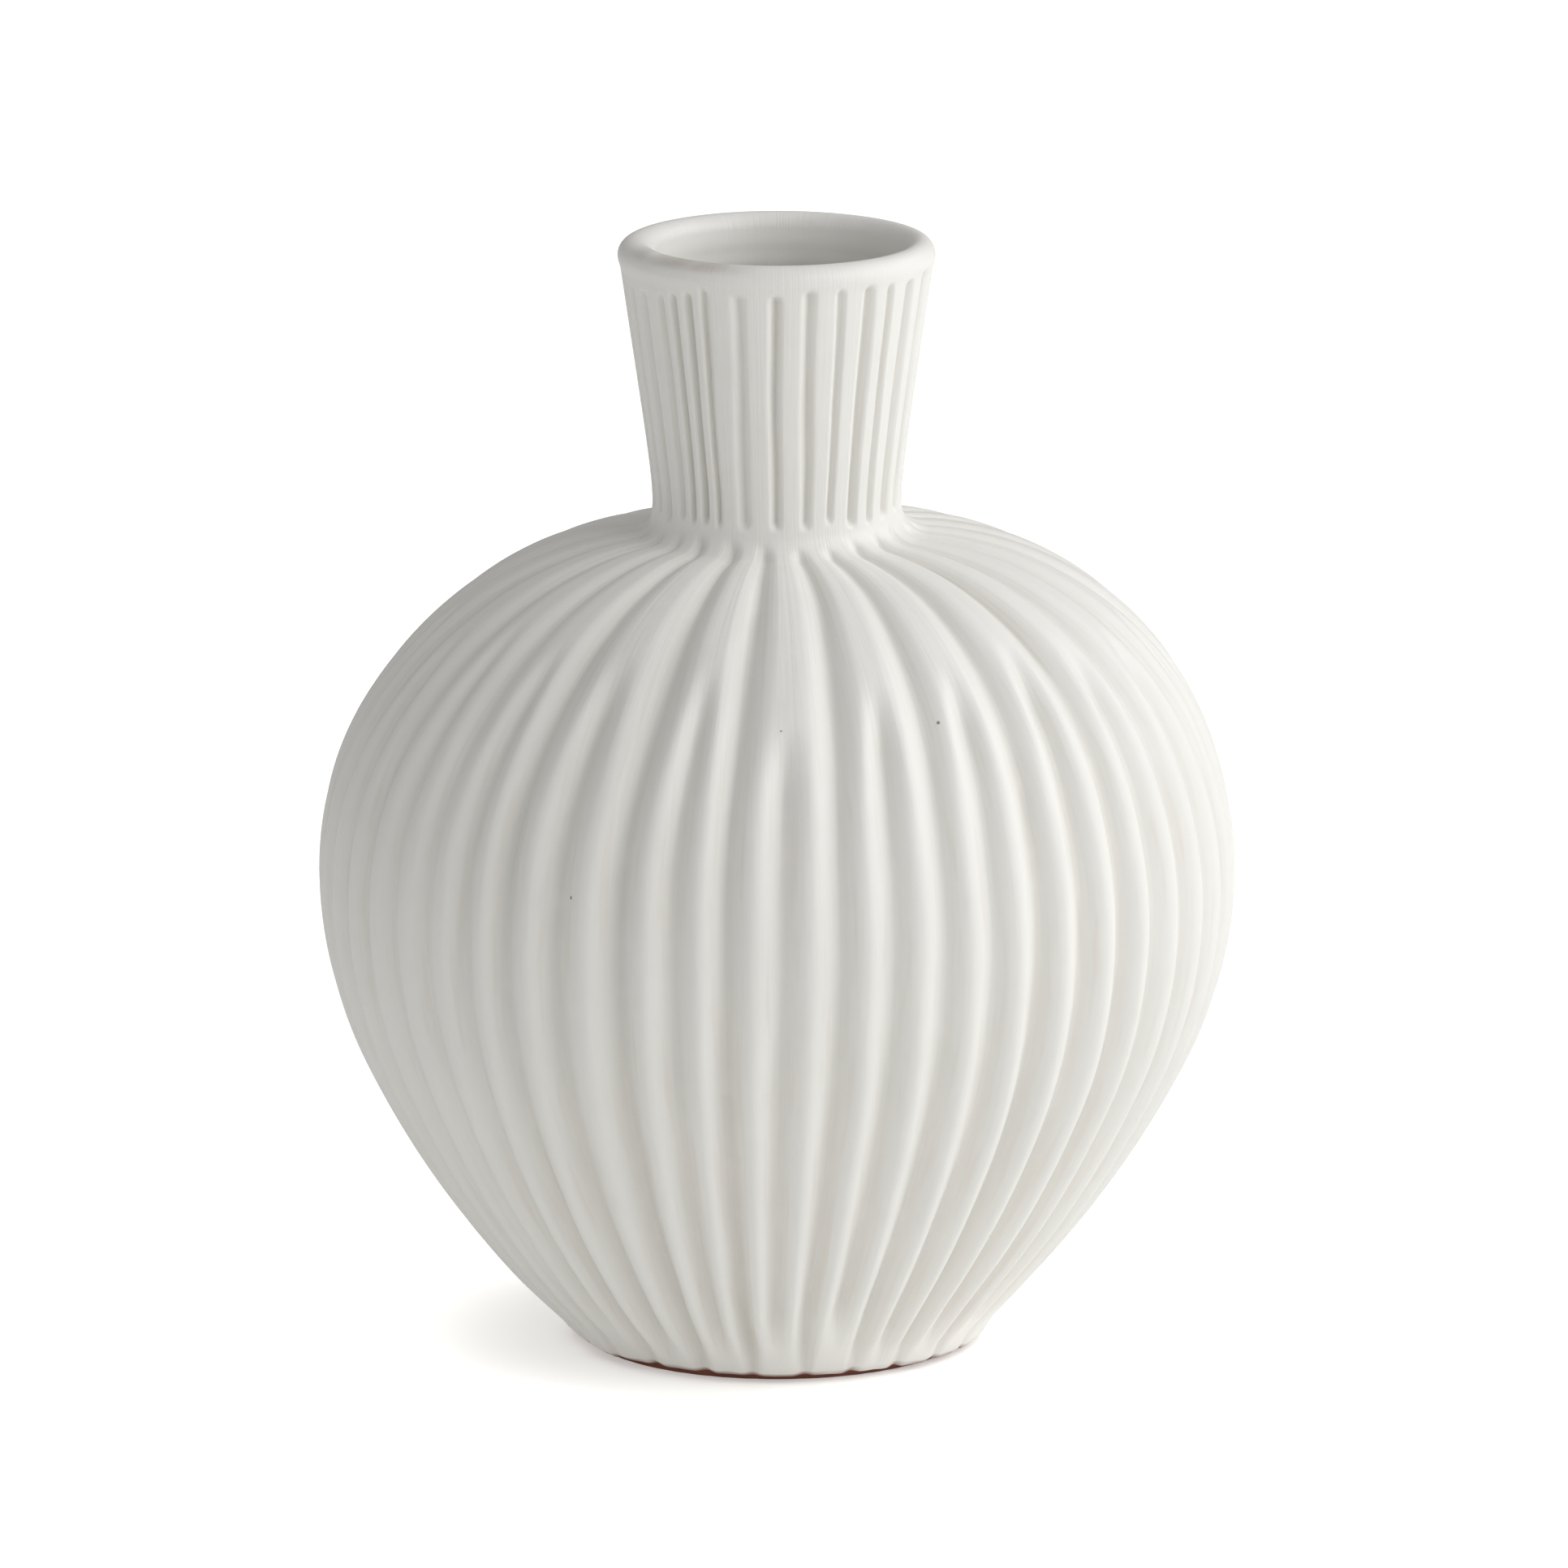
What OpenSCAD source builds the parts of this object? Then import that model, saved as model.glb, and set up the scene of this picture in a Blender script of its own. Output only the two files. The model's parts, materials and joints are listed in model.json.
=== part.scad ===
// Ceramic bud vase: a fluted bulb of red clay with a fluted, flared neck, glazed white
// inside and out. The axis of the vase is Z and the table is at z = 0. Millimetres.

/* [Bulb] */
// Diameter across the ridges at the widest point of the bulb
belly_d = 124.5; // [104:0.5:150]
// Height of the widest point above the table
belly_z = 65.5; // [54:0.5:80]
// Radius of the shoulder's curve, from the widest point up to the neck
shoulder_curve = 46.5; // [38:0.5:56]
// Radius of the curve just below the widest point
belly_curve = 58; // [48:1:70]
// Height at which the flatter lower curve takes over
lower_z = 40; // [32:1:48]
// Thickness of the bulb's clay wall
bulb_wall_t = 4.2; // [3:0.1:6]

/* [Foot] */
// Diameter across the ridges at the lower edge of the glaze
foot_edge_d = 55.2; // [44:0.2:66.4]
// Height of the bare clay foot below the glaze
foot_h = 1.4; // [0.8:0.1:3]
// Width of the foot ring that stands on the table
foot_w = 6; // [4:0.5:9]
// How far the foot ring sits inside the wall's groove bottoms
foot_setback = 0.4; // [0.2:0.1:1.5]
// Radius that rounds the foot ring's outer edge
foot_round = 0.9; // [0.3:0.1:1.2]
// Thickness of the clay floor
floor_t = 5.5; // [4:0.5:9]

/* [Neck] */
// Height of the neck from its seat on the shoulder to the top of the lip
neck_h = 40.6; // [30:0.2:50]
// Diameter of the neck where it meets the shoulder
neck_base_d = 31.8; // [26:0.2:38.2]
// Diameter of the neck just under the lip
neck_top_d = 42.2; // [34:0.2:51]
// Thickness of the neck's clay wall
neck_wall_t = 3; // [2:0.1:4]
// Width of the slip band round the neck's seat
band_w = 4.6; // [3:0.2:7]
// Height of the slip band up the neck
band_h = 3.4; // [2:0.2:6]

/* [Lip] */
// Diameter across the rolled lip
lip_d = 43; // [35:0.2:51.6]
// Radius of the lip's half-round top
lip_round = 2.2; // [1.6:0.1:3]
// Height of the smooth lip above the neck's ridges
lip_h = 4; // [3.5:0.5:9]

/* [Flutes] */
// Number of grooves round the belly, half of which start at the neck
flutes = 52; // [28:4:64]
// Depth of a groove at the belly
flute_depth = 1.1; // [0.4:0.1:1.6]
// Share of the groove spacing that a groove takes
flute_share = 0.7; // [0.4:0.05:0.9]
// Height at which the grooves between the long ones start
short_flute_z = 101; // [90:1:106]
// Number of grooves round the neck
neck_flutes = 32; // [20:4:40]
// Depth of a groove in the neck
neck_flute_depth = 0.6; // [0.2:0.1:1.2]
// Share of the groove spacing that a groove in the neck takes
neck_flute_share = 0.45; // [0.3:0.05:0.8]
// Length over which a groove runs out at its ends
runout = 1.6; // [0.8:0.2:3]

/* [Glaze] */
// Thickness of the glaze outside
glaze_t = 0.4; // [0.2:0.05:0.8]
// Thickness of the glaze inside
lining_t = 0.4; // [0.2:0.05:0.8]

/* [Hidden] */

CLAY = [0.62, 0.37, 0.27];
WHITE = [0.93, 0.92, 0.90];

// Steps that each curve of the profile is drawn in
lower_steps = 3;
belly_steps = 2;
shoulder_steps = 7;
band_steps = 3;
inner_lower_steps = 2;
inner_shoulder_steps = 4;
round_steps = 12;
fine = 180;
// Least flat ceiling left round the neck's hole inside the bulb
ceiling_ledge = 1;
// Share of a groove's depth that is left where the bulb narrows to nothing
least_depth = 0.35;

// Bulb profile: three arcs that meet without a corner
belly_r = belly_d / 2;
shoulder_cr = belly_r - shoulder_curve;
belly_cr = belly_r - belly_curve;
turn_a = asin((belly_z - lower_z) / belly_curve);
lower_r = belly_cr + belly_curve * cos(turn_a);
foot_edge_r = foot_edge_d / 2;
lower_drop = lower_z - foot_h;
lower_in = lower_r - foot_edge_r;
lower_curve = (lower_in * lower_in + lower_drop * lower_drop)
            / (2 * (lower_in * cos(turn_a) - lower_drop * sin(turn_a)));
lower_cr = lower_r - lower_curve * cos(turn_a);
lower_cz = lower_z + lower_curve * sin(turn_a);
foot_a = asin((lower_cz - foot_h) / lower_curve);
bulb_inset = glaze_t + bulb_wall_t;

// Neck, its seat on the shoulder and the lip
neck_base_r = neck_base_d / 2;
neck_top_r = neck_top_d / 2;
neck_inset = glaze_t + neck_wall_t;
hole_r = neck_base_r - neck_inset;
band_r = max(neck_base_r + band_w, shoulder_cr);
seat_z = shoulder_point(shoulder_end(glaze_t), glaze_t)[1];
top_z = seat_z + neck_h;
lip_z = top_z - lip_h;
lip_cz = top_z - lip_round;
lip_cr = lip_d / 2 - lip_round;
groove_low_z = seat_z + band_h;
groove_high_z = lip_z;
band_neck_r = neck_r(groove_low_z) - glaze_t;

// Foot and floor
wall_foot_r = foot_edge_r - (glaze_t + flute_depth_at(foot_edge_r)) / cos(foot_a);
ring_out_r = wall_foot_r - foot_setback;
ring_in_r = ring_out_r - foot_w;
slab_r = (ring_out_r + ring_in_r) / 2;
floor_z = foot_h + floor_t;
ceiling_r = max(shoulder_cr, hole_r + ceiling_ledge);

// A point of a curve of the bulb, sunk by inset: radius, height and the outward direction
function shoulder_point(a, inset) =
    [shoulder_cr + (shoulder_curve - inset) * cos(a), belly_z + (shoulder_curve - inset) * sin(a),
     cos(a), sin(a)];
function belly_point(a, inset) =
    [belly_cr + (belly_curve - inset) * cos(a), belly_z - (belly_curve - inset) * sin(a),
     cos(a), -sin(a)];
function lower_point(a, inset) =
    [lower_cr + (lower_curve - inset) * cos(a), lower_cz - (lower_curve - inset) * sin(a),
     cos(a), -sin(a)];
function shoulder_end(inset) = acos((band_r - shoulder_cr) / (shoulder_curve - inset));
function neck_r(z) =
    neck_base_r + (neck_top_r - neck_base_r) * (z - seat_z) / (neck_h - lip_h);

// Depth of a groove where the bulb's radius is r, and how much of a short groove is cut at z
function flute_depth_at(r) = flute_depth * (least_depth + (1 - least_depth) * r / belly_r);
function short_share(z) = min(1, max(0, (short_flute_z - z) / (2 * runout)));

// A ring of a skin: radius, height, outward direction, long groove's depth, short groove's depth
function plain_ring(r, z) = [r, z, 1, 0, 0, 0];
function bulb_ring(p) =
    concat(p, [flute_depth_at(p[0]), flute_depth_at(p[0]) * short_share(p[1])]);
function foot_edge_ring(inset) =
    [foot_edge_r - inset / cos(foot_a), foot_h, 1 / cos(foot_a), 0,
     flute_depth_at(foot_edge_r), flute_depth_at(foot_edge_r)];
function neck_ring(z, inset, depth) = [neck_r(z) - inset, z, 1, 0, depth, depth];

// The bulb's fluted surface, from the foot up to the slip band
function bulb_rings(inset) =
    let (end_a = shoulder_end(inset), runout_a = runout / shoulder_curve * 180 / PI)
    concat(
        [foot_edge_ring(inset)],
        [for (k = [1 : lower_steps - 1])
            bulb_ring(lower_point(foot_a + (turn_a - foot_a) * k / lower_steps, inset))],
        [for (k = [0 : belly_steps - 1]) bulb_ring(belly_point(turn_a * (1 - k / belly_steps), inset))],
        [for (k = [0 : shoulder_steps])
            bulb_ring(shoulder_point((end_a - runout_a) * k / shoulder_steps, inset))],
        [concat(shoulder_point(end_a, inset), [0, 0])]
    );

// The neck's fluted surface, from the slip band up to the lip
function neck_rings(inset) = [
    neck_ring(groove_low_z, inset, 0),
    neck_ring(groove_low_z + runout, inset, neck_flute_depth),
    neck_ring(groove_high_z - runout, inset, neck_flute_depth),
    neck_ring(groove_high_z, inset, 0)
];

// The slip band's hollow curve, from the shoulder up to the neck, raised by lift
function band_point(t, lift) =
    let (w = band_r - band_neck_r, away = [cos(t) / w, sin(t) / band_h], n = away / norm(away))
    [band_r - w * cos(t) + lift * n[0], groove_low_z - band_h * sin(t) + lift * n[1]];
function band_rings(lift) =
    [for (k = [band_steps : -1 : 1]) let (p = band_point(90 * k / band_steps, lift))
        plain_ring(p[0], p[1])];

// The bulb's plain inner curve, from the floor up to the ceiling round the neck's hole
function inner_curve(inset, z) =
    let (start_a = asin((lower_cz - z) / (lower_curve - inset)),
         end_a = acos((ceiling_r - shoulder_cr) / (shoulder_curve - bulb_inset)))
    concat(
        [for (k = [0 : inner_lower_steps - 1])
            lower_point(start_a + (turn_a - start_a) * k / inner_lower_steps, inset)],
        [belly_point(turn_a, inset)],
        [for (k = [0 : inner_shoulder_steps])
            shoulder_point(end_a * k / inner_shoulder_steps, inset)]
    );

// A ring of points: count grooves, each with a bottom and an edge on either side.
// grow makes the ring's flats, not its corners, touch a round piece inside it.
function ring_points(ring, count, share, grow) =
    [for (k = [0 : count - 1], side = [-1 : 1])
        let (a = (k + side * share / 2) * 360 / count,
             dip = side != 0 ? 0 : k % 2 == 0 ? ring[4] : ring[5],
             r = ring[0] * grow - ring[2] * dip)
        [r * cos(a), r * sin(a), ring[1] - ring[3] * dip]];
function flat_grow(count, share) = 1 / cos(max(share / 2, 1 - share) * 180 / count);
function reversed(list) = [for (k = [len(list) - 1 : -1 : 0]) list[k]];

// A closed skin through rings that run up the outside and down the inside. Each quad is cut
// from its lower corner to the next upper one, so that touching skins share their facets.
module ring_skin(outside, inside, count, share, inside_grow) {
    rings = concat(outside, inside);
    last = len(rings);
    around = 3 * count;
    points = concat(
        [for (ring = outside) each ring_points(ring, count, share, 1)],
        [for (ring = inside) each ring_points(ring, count, share, inside_grow)]
    );
    faces = [for (i = [0 : last - 1], j = [0 : around - 1])
        let (next_i = (i + 1) % last,
             next_j = (j + 1) % around,
             a = i * around + j,
             b = i * around + next_j,
             c = next_i * around + next_j,
             d = next_i * around + j)
        each rings[i][1] <= rings[next_i][1] ? [[a, c, b], [a, d, c]] : [[a, d, b], [b, d, c]]];
    polyhedron(points, faces);
}

// Turned ring of bare clay that the vase stands on
module foot_ring() {
    outer_edge = [for (k = [0 : round_steps])
        let (a = 90 * k / round_steps - 90)
        [ring_out_r - foot_round + foot_round * cos(a), foot_round + foot_round * sin(a)]];
    color(CLAY)
    rotate_extrude($fn = fine)
    polygon(concat([[ring_in_r, 0]], outer_edge, [[ring_out_r, foot_h], [ring_in_r, foot_h]]));
}

// Clay disc that closes the bottom of the bulb
module floor_slab() {
    color(CLAY)
    translate([0, 0, foot_h])
    cylinder(r = slab_r, h = floor_t, $fn = fine);
}

// Clay wall of the bulb, grooved outside and plain inside
module bulb_wall() {
    inner = [for (p = reversed(inner_curve(bulb_inset, floor_z))) plain_ring(p[0], p[1])];
    ceiling_z = inner[0][1];
    color(CLAY)
    ring_skin(
        bulb_rings(glaze_t),
        concat(
            [plain_ring(hole_r, seat_z), plain_ring(hole_r, ceiling_z)],
            inner,
            [plain_ring(slab_r, floor_z), plain_ring(slab_r, foot_h)]
        ),
        flutes, flute_share, flat_grow(flutes, flute_share)
    );
}

// Soft clay worked round the neck's seat to join it to the shoulder
module slip_band() {
    color(CLAY)
    ring_skin(
        concat(band_rings(0), [plain_ring(band_neck_r, groove_low_z)]),
        [plain_ring(neck_base_r - glaze_t, seat_z)],
        neck_flutes, neck_flute_share, 1
    );
}

// Clay wall of the neck, grooved outside and plain inside
module neck_wall() {
    color(CLAY)
    ring_skin(
        concat([neck_ring(seat_z, glaze_t, 0)], neck_rings(glaze_t)),
        [neck_ring(lip_z, neck_inset, 0), neck_ring(seat_z, neck_inset, 0)],
        neck_flutes, neck_flute_share, flat_grow(neck_flutes, neck_flute_share)
    );
}

// Half circle over the lip, from the outside to the mouth
function lip_arc(r) =
    [for (k = [0 : round_steps]) let (a = 180 * k / round_steps)
        [lip_cr + r * cos(a), lip_cz + r * sin(a)]];

// Rolled clay lip round the mouth
module lip_roll() {
    color(CLAY)
    rotate_extrude($fn = fine)
    polygon(concat(
        [[neck_top_r - neck_inset, lip_z], [neck_top_r - glaze_t, lip_z]],
        lip_arc(lip_round - glaze_t)
    ));
}

// Glaze over the bulb, which stops just above the foot
module bulb_glaze() {
    color(WHITE)
    ring_skin(bulb_rings(0), reversed(bulb_rings(glaze_t)), flutes, flute_share, 1);
}

// Glaze over the slip band and the neck
module neck_glaze() {
    color(WHITE)
    ring_skin(
        concat(band_rings(glaze_t), neck_rings(0)),
        reversed(concat(band_rings(0), neck_rings(glaze_t))),
        neck_flutes, neck_flute_share, 1
    );
}

// Glaze over the lip, down to the top of the lining
module lip_glaze() {
    color(WHITE)
    rotate_extrude($fn = fine)
    polygon(concat(
        [[neck_top_r, lip_z]],
        lip_arc(lip_round),
        reversed(lip_arc(lip_round - glaze_t)),
        [[neck_top_r - glaze_t, lip_z]]
    ));
}

// Glaze over the floor, the inside of the bulb and the inside of the neck
module lining_glaze() {
    wall_side = inner_curve(bulb_inset, floor_z);
    open_side = inner_curve(bulb_inset + lining_t, floor_z + lining_t);
    ceiling_z = wall_side[len(wall_side) - 1][1];
    open_ceiling_z = open_side[len(open_side) - 1][1];
    mouth_r = lip_cr - lip_round + glaze_t;
    color(WHITE)
    rotate_extrude($fn = fine)
    polygon(concat(
        [[0, floor_z]],
        [for (p = wall_side) [p[0], p[1]]],
        [[hole_r, ceiling_z], [hole_r, seat_z], [neck_top_r - neck_inset, lip_z], [mouth_r, lip_cz]],
        [[mouth_r - lining_t, lip_cz], [neck_top_r - neck_inset - lining_t, lip_z]],
        [[hole_r - lining_t, seat_z], [hole_r - lining_t, open_ceiling_z]],
        [for (p = reversed(open_side)) [p[0], p[1]]],
        [[0, floor_z + lining_t]]
    ));
}

foot_ring();
floor_slab();
bulb_wall();
slip_band();
neck_wall();
lip_roll();
bulb_glaze();
neck_glaze();
lip_glaze();
lining_glaze();
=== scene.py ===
"""Looks of the ceramic bud vase: each clay member and its glaze are thrown and fluted round the
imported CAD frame. Metres, +Z up, the axis of the vase is Z and the table is at z = 0."""
import json
import math
import random

import bpy
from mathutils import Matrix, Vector

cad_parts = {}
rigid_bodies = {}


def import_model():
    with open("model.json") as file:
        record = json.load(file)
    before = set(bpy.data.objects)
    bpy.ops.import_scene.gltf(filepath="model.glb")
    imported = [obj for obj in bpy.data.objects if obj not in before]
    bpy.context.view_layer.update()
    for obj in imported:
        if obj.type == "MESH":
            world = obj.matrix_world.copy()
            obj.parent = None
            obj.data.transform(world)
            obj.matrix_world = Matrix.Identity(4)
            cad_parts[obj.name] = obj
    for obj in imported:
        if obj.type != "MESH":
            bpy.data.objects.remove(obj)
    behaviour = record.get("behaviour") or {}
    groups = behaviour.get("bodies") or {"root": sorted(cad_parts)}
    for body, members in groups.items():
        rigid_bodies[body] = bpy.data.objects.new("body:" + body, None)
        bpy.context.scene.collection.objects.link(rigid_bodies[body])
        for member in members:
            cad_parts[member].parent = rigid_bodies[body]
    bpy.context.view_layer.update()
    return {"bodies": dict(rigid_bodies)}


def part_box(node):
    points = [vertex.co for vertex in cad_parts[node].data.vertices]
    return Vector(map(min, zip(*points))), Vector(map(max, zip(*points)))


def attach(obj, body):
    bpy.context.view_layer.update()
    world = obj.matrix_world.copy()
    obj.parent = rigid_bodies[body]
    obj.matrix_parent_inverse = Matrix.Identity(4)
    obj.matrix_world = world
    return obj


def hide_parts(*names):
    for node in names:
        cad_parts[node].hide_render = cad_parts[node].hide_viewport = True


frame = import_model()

MM = 0.001
TURN = 2 * math.pi

# Places that the frame gives
BODY = next(iter(frame["bodies"]))
BELLY_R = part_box("bulb_glaze")[1].x
BAND_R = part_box("slip_band")[1].x
BAND_TOP_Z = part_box("slip_band")[1].z
SEAT_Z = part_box("neck_wall")[0].z
LIP_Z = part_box("lip_roll")[0].z
LIP_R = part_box("lip_glaze")[1].x
TOP_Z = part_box("lip_glaze")[1].z
FOOT_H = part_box("foot_ring")[1].z
SLAB_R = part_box("floor_slab")[1].x
FLOOR_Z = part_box("floor_slab")[1].z

# Clay and glaze
GLAZE_T = 0.4 * MM
BULB_WALL_T = 4.2 * MM
NECK_WALL_T = 3 * MM

# Bulb: three arcs that meet without a corner, from the foot up to the shoulder
SHOULDER_CURVE = 46.5 * MM
BELLY_CURVE = 58 * MM
BELLY_Z = 65.5 * MM
LOWER_Z = 40 * MM
FOOT_EDGE_R = 27.6 * MM
SHOULDER_CR = BELLY_R - SHOULDER_CURVE
BELLY_CR = BELLY_R - BELLY_CURVE
TURN_A = math.asin((BELLY_Z - LOWER_Z) / BELLY_CURVE)
LOWER_R = BELLY_CR + BELLY_CURVE * math.cos(TURN_A)
LOWER_DROP = LOWER_Z - FOOT_H
LOWER_IN = LOWER_R - FOOT_EDGE_R
LOWER_CURVE = (LOWER_IN ** 2 + LOWER_DROP ** 2) / (
    2 * (LOWER_IN * math.cos(TURN_A) - LOWER_DROP * math.sin(TURN_A)))
LOWER_CR = LOWER_R - LOWER_CURVE * math.cos(TURN_A)
LOWER_CZ = LOWER_Z + LOWER_CURVE * math.sin(TURN_A)

# Foot ring of bare clay, which spreads a little up to the glaze
FOOT_LOW_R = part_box("foot_ring")[1].x + 0.3 * MM
FOOT_TOP_R = FOOT_LOW_R + 1 * MM
FOOT_W = 6 * MM
FOOT_IN_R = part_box("foot_ring")[1].x - FOOT_W
FOOT_ROUND = 0.35 * MM
FOOT_SPREAD_POWER = 1.5
FOOT_SPREAD_ROWS = (0.25, 0.5, 0.75, 1)
FOOT_SPREAD_OUT = (0.85, -0.5)

# Neck and lip
NECK_BASE_R = 15.9 * MM
NECK_TOP_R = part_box("neck_glaze")[1].x
NECK_FLARE = 0.55 * MM
NECK_FLARE_H = 2.5 * MM
NECK_SLOPE = (NECK_TOP_R - NECK_BASE_R) / (LIP_Z - SEAT_Z)
NECK_OUT = tuple(Vector((1, -NECK_SLOPE)).normalized())
NECK_INSET = GLAZE_T + NECK_WALL_T
HOLE_R = NECK_BASE_R - NECK_INSET
# The hidden faces of the joint lie this far below the seat, clear of the deepest flutes
JOINT_SINK = 1.3 * MM
JOINT_Z = SEAT_Z - JOINT_SINK
LIP_ROUND = 2.2 * MM
LIP_CR = LIP_R - LIP_ROUND
LIP_CZ = TOP_Z - LIP_ROUND
MOUTH_R = LIP_CR - LIP_ROUND
MOUTH_SLOPE = math.atan((MOUTH_R - HOLE_R) / (TOP_Z - SEAT_Z))
MOUTH_END_R = LIP_CR - LIP_ROUND * math.cos(MOUTH_SLOPE)
MOUTH_END_Z = LIP_CZ + LIP_ROUND * math.sin(MOUTH_SLOPE)

# Flutes of the bulb: every second one starts below the shoulder. Bearings are 0 at the front
# and grow to the right
LONG_FLUTES = 26
FIRST_FLUTE = math.radians(-6.3)
# One ridge left of the front is wider. The flutes beyond it move over, less and less to the back
WIDE_RIDGE_AT = math.radians(-24)
WIDE_RIDGE_MORE = math.radians(2.3)
WIDE_RIDGE_ABSORBED = (-TURN / 2, -TURN / 4)
FLUTE_DEPTH = 2.0 * MM
NECK_END_DEPTH = 0.78 * MM
LOWER_FLUTE_DEPTH = 2.5 * MM
LOWER_FLUTE_Z = 38 * MM
FOOT_END_DEPTH = 1.8 * MM
FOOT_END_FROM_R = 40 * MM
FOOT_EDGE_SHARE = 0.13
FLUTE_FADE_H = 4.5 * MM
LEFT_DEPTH_SHARE = 0.62
LEFT_BEGINS = (math.radians(-28), math.radians(-46))
LEFT_ENDS = (-TURN / 2, -TURN / 3)
LONG_RUNOUT = 2.4 * MM
LONG_PAST_BULB = (3.6 * MM, 5.2 * MM)
SHORT_RUNOUT = 13 * MM
SHORT_START_Z = 104 * MM
SHORT_START_CHANCE = 1.5 * MM
# The short flutes start lower at the front: how much, at what bearing and how far round, in degrees
SHORT_START_DIP = 7 * MM
SHORT_DIP_AT = 2
SHORT_DIP_WIDTH = 14
SHORT_END = (-3 * MM, 5 * MM)
SHORT_END_LENGTH = 12 * MM
PITCH_CHANCE = 0.06
DEPTH_CHANCE = (0.85, 1.08)
BULB_SEED = 11

# Flutes of the neck, unevenly spaced, with bearings in degrees. On the left they stop lower
NECK_FLUTE_DEPTH = 1.0 * MM
NECK_FLUTE_HALF_WIDTH = 1.35 * MM
FRONT_NECK_FLUTES = (-69, -60.5, -48.5, -42, -34.5, -28, -14.5, -0.5, 13, 24.7, 36.7, 47)
NECK_FLUTES = 32
NECK_BEARING_CHANCE = 1.3
NECK_LEFT = (-25, -60)
NECK_FLUTE_END_Z = 148.9 * MM
NECK_LEFT_SHORTER = 1.8 * MM
NECK_END_CHANCE = 0.4 * MM
NECK_START_CHANCE = 0.8 * MM
NECK_RUNOUT = 1.4 * MM
NECK_DEPTH_CHANCE = (0.8, 1.15)
NECK_REACH_CHANCE = (0.22, 0.42)
NECK_SEED = 5

# The hand's share in it: a lean to the right at the shoulder and to the left above the foot
SHOULDER_LEAN = 1.1 * MM
SHOULDER_LEAN_Z = (75 * MM, 104 * MM)
SHOULDER_UPRIGHT_Z = (109 * MM, 115 * MM)
FOOT_LEAN = -0.5 * MM
FOOT_LEAN_Z = (0, 12 * MM)
FOOT_UPRIGHT_Z = (8 * MM, 50 * MM)
MOUTH_SHIFT = 0.5 * MM
WOBBLE = 0.35 * MM
WOBBLE_SIZE = 45 * MM
WOBBLE_START_Z = (1 * MM, 20 * MM)
WOBBLE_UP_SHARE = 0.5
FLUTE_SWAY = 0.55 * MM
FLUTE_PRESSURE = 0.35
# How fast the sway and the pressure change round the vase and down a flute
HAND_CHANGES = 3.0
HAND_LENGTH = 28 * MM
LEAST_SWAY_R = 15 * MM
HAND_SEED = 3.0

# Sections of the flutes: the share of the gap between two marks that a flute reaches over, how
# round its bottom is, and how the ridge is rounded where two flutes meet
SHARED_REACH = 0.5
SHOULDER_REACH = 0.78
SPLIT_Z = (104 * MM, 84 * MM)
SHOULDER_ROUNDNESS = 0.2
MORE_BELLY_ROUNDNESS = 0.17
SOFTER_Z = (104 * MM, 60 * MM)
NECK_ROUNDNESS = 0.28
FOOT_ROUNDNESS = 0.6
FOOT_FLUTE_DEPTH = 0.12 * MM
FOOT_FLUTE_LOW_SHARE = 0.2
RIDGE_BLEND = 0.06
SET_IN_LENGTH = 1.2 * MM

# Edge of the glaze above the foot: where it stops, and how far it hangs down over the clay
EDGE_RISE = 0.05 * MM
EDGE_SOFTNESS = 0.15 * MM
GLAZE_EDGE_WAVE = 0.3 * MM
EDGE_WAVE_SCALE = 3.4
EDGE_WAVE_GAIN = 1.5
EDGE_WAVE_IN_FLUTES = 0.3
GLAZE_RUN = 1.05 * MM
GLAZE_RUN_H = 3 * MM
# Shares of the run: all round, by chance, more at the back and more on the right
RUN_ALL_ROUND = 0.95
RUN_BY_CHANCE = 1.1
RUN_AT_BACK = 0.35
RUN_ON_RIGHT = 0.25
RUN_LIMIT = 0.85 * FOOT_H
RUN_LIMIT_SOFTNESS = 0.3 * MM

# The glaze thins over the lip where its skin faces upward this much, from not at all to fully
LIP_TOP_FACING = (0.35, 0.9)
# How far down the mouth the lining darkens to its painted shade
LINING_DEEP_H = 6 * MM

# Rings left by the fingers inside and by the turning tool underneath
RING_PITCH = 3.4 * MM
RING_DEPTH = 0.08 * MM
TURNING_PITCH = 2.2 * MM
TURNING_DEPTH = 0.15 * MM

# Columns round a skin, eleven to a flute on the bulb, and steps along the profiles
BULB_COLUMNS = 572
NECK_COLUMNS = 720
INSIDE_COLUMNS = 160
OUTLINE_STEP = 0.25 * MM
BULB_STEP = 1.25 * MM
INSIDE_STEP = 6 * MM
FLOOR_CLEARANCE = 0.5 * MM
HOLE_CLEARANCE = 1 * MM
BAND_STEPS = 14
NECK_STEP = 0.9 * MM
NECK_END_STEP = 0.35 * MM
NECK_END_H = 4 * MM
LIP_UNDER_STEPS = 9
LIP_STEP = 0.25 * MM
HIDDEN_LINING_STEP = 4 * MM
HIDDEN_LINING_NECK_STEPS = 12
SEEN_LINING_STEP = 1.5 * MM
SEEN_LINING_NECK_STEPS = 70
FOOT_STEP = 0.12 * MM
FLOOR_STEPS = 60
MERGE_DISTANCE = 1e-6

# Soft boxes: bearing from the front and angle above the table in degrees, and power in watts
SOFT_BOXES = {"key_soft_box": (52, 35, 8.1), "side_soft_box": (80, 25, 4.2),
              "rim_soft_box": (110, 35, 6.2), "fill_soft_box": (-60, 30, 1.4)}
SOFT_BOX_SIZE = 1.1
SOFT_BOX_FAR = 1.6
AIR_LIGHT = 0.324
AIR_COLOUR = (1, 0.995, 0.985, 1)
BACKDROP_COLOUR = (1, 0.99, 0.975, 1)
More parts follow.
